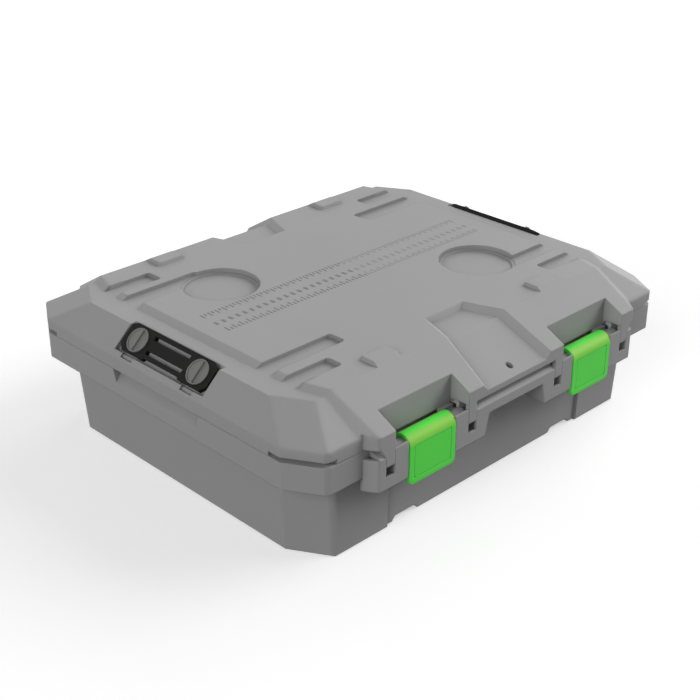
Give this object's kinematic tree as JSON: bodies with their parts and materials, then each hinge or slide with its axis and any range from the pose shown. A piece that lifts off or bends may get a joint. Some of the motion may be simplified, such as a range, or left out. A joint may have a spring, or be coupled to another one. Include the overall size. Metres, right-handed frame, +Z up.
{
  "type": "plastic storage box",
  "caption": "Low rugged plastic storage case with hinged lid, two snap-over front latches, front carry handle, side grips and black side plates.",
  "frame": {"origin": "on the floor under the tub, midway between the side walls and midway between the front and back of the rim band", "axes": "+X to the right along the latch side, -Y towards the viewer at the latch side, +Z up"},
  "size_m": [0.575, 0.5113, 0.1772],
  "materials": {
    "tub_grey": "fine moulded grain",
    "lid_grey": "fine moulded grain",
    "seal_rubber": "matte",
    "latch_green": "satin",
    "pin_steel": "drawn",
    "plate_black": "satin",
    "stud_grey": "satin"
  },
  "bodies": {
    "base": {"base_tub": "tub_grey", "hinge_pin_left": "pin_steel", "hinge_pin_right": "pin_steel"},
    "lid": {"lid_shell": "lid_grey", "lid_seal": "seal_rubber", "latch_pin_left": "pin_steel", "latch_pin_right": "pin_steel", "side_plate_left": "plate_black", "side_plate_right": "plate_black"},
    "latch_left": {"latch_left": "latch_green"},
    "latch_right": {"latch_right": "latch_green"},
    "stud_left_front": {"stud_left_front": "stud_grey"},
    "stud_left_back": {"stud_left_back": "stud_grey"},
    "stud_right_front": {"stud_right_front": "stud_grey"},
    "stud_right_back": {"stud_right_back": "stud_grey"}
  },
  "joints": [
    {"name": "lid_hinge", "type": "hinge", "parent": "base", "child": "lid", "pos_m": [0, 0.2525, 0.1255], "axis": [-1, 0, 0], "range_deg": [0, 105]},
    {"name": "latch_left_pivot", "type": "hinge", "parent": "lid", "child": "latch_left", "pos_m": [-0.1317, -0.2397, 0.113], "axis": [-1, 0, 0], "range_deg": [0, 105]},
    {"name": "latch_right_pivot", "type": "hinge", "parent": "lid", "child": "latch_right", "pos_m": [0.1317, -0.2397, 0.113], "axis": [-1, 0, 0], "range_deg": [0, 105]},
    {"name": "stud_left_front_turn", "type": "hinge", "parent": "lid", "child": "stud_left_front", "pos_m": [-0.26741, -0.0505, 0.16018], "axis": [-0.6828, 0, 0.7306], "range_deg": [0, 90]},
    {"name": "stud_left_back_turn", "type": "hinge", "parent": "lid", "child": "stud_left_back", "pos_m": [-0.26741, 0.0505, 0.16018], "axis": [-0.6828, 0, 0.7306], "range_deg": [0, 90]},
    {"name": "stud_right_front_turn", "type": "hinge", "parent": "lid", "child": "stud_right_front", "pos_m": [0.26741, -0.0505, 0.16018], "axis": [0.6828, 0, 0.7306], "range_deg": [0, 90]},
    {"name": "stud_right_back_turn", "type": "hinge", "parent": "lid", "child": "stud_right_back", "pos_m": [0.26741, 0.0505, 0.16018], "axis": [0.6828, 0, 0.7306], "range_deg": [0, 90]}
  ]
}
